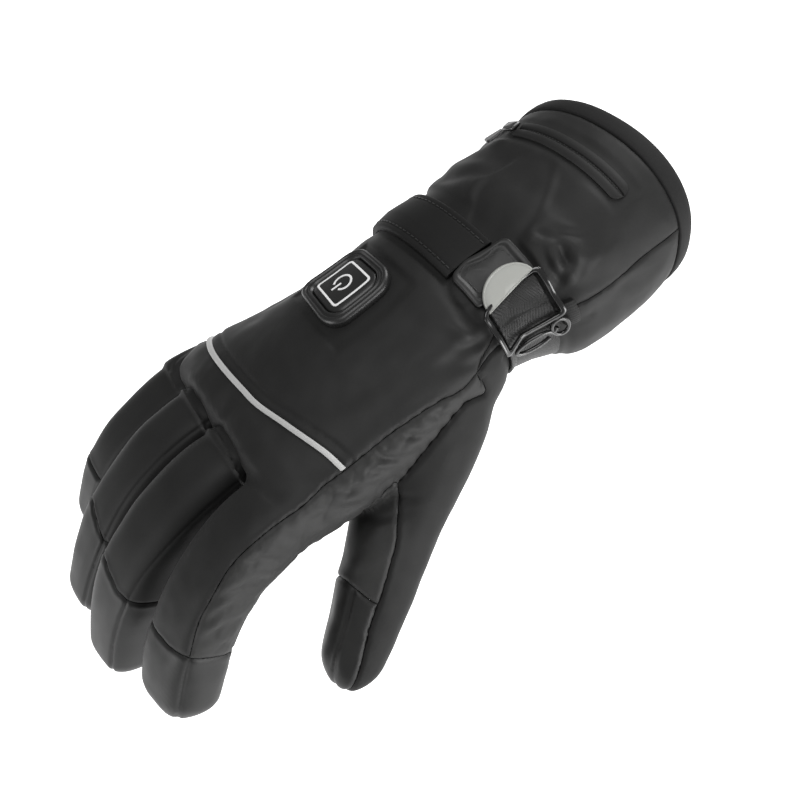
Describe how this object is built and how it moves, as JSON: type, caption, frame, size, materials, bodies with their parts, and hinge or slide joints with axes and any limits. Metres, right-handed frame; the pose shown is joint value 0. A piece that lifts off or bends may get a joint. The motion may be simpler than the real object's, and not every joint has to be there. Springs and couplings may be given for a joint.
{
  "type": "heated glove",
  "caption": "Padded right-hand winter glove in a relaxed worn pose, with a gauntlet cuff, buckled wrist strap, zipped cuff pocket and a heat control button on the back.",
  "frame": {"origin": "middle of the wrist, inside the glove under the strap, where the wearer's wrist is", "axes": "+X out of the cuff along the forearm, +Z out of the back of the hand, -Y towards the thumb"},
  "size_m": [0.258, 0.144, 0.1138],
  "materials": {
    "shell_fabric": "soft matte woven shell",
    "palm_leather": "fine grain, low sheen",
    "cap_leather": "smooth, satin",
    "stretch_panel": "soft stretch twill",
    "edge_binding": "ribbed tape",
    "reflective": "pale reflective piping",
    "strap_fabric": "matte",
    "webbing": "herringbone weave",
    "plastic": "glossy",
    "pale_label": "satin",
    "rubber": "satin",
    "white_print": "satin print",
    "dark_metal": "dark plated"
  },
  "bodies": {
    "root": {"cuff_back": "shell_fabric", "cuff_palm": "shell_fabric", "rim_binding": "edge_binding", "side_gusset": "stretch_panel", "back_panel": "shell_fabric", "knuckle_panel": "shell_fabric", "index_stall": "palm_leather", "thumb_stall": "stretch_panel", "thumb_cap": "cap_leather", "palm_panel": "palm_leather", "reflective_piping": "reflective", "index_cap": "cap_leather", "middle_stall": "shell_fabric", "middle_cap": "cap_leather", "ring_stall": "shell_fabric", "ring_cap": "cap_leather", "little_stall": "shell_fabric", "little_cap": "cap_leather", "wrist_strap": "strap_fabric", "strap_patch": "cap_leather", "buckle": "plastic", "label_plate": "pale_label", "strap_webbing": "webbing", "button_base": "rubber", "button_face": "rubber", "button_light": "white_print", "button_mark_ring": "white_print", "button_mark_stroke": "white_print", "pocket_welt": "edge_binding", "zip_slider": "dark_metal", "zip_pull": "dark_metal", "clip_loop": "webbing", "side_clip": "plastic"}
  },
  "joints": []
}
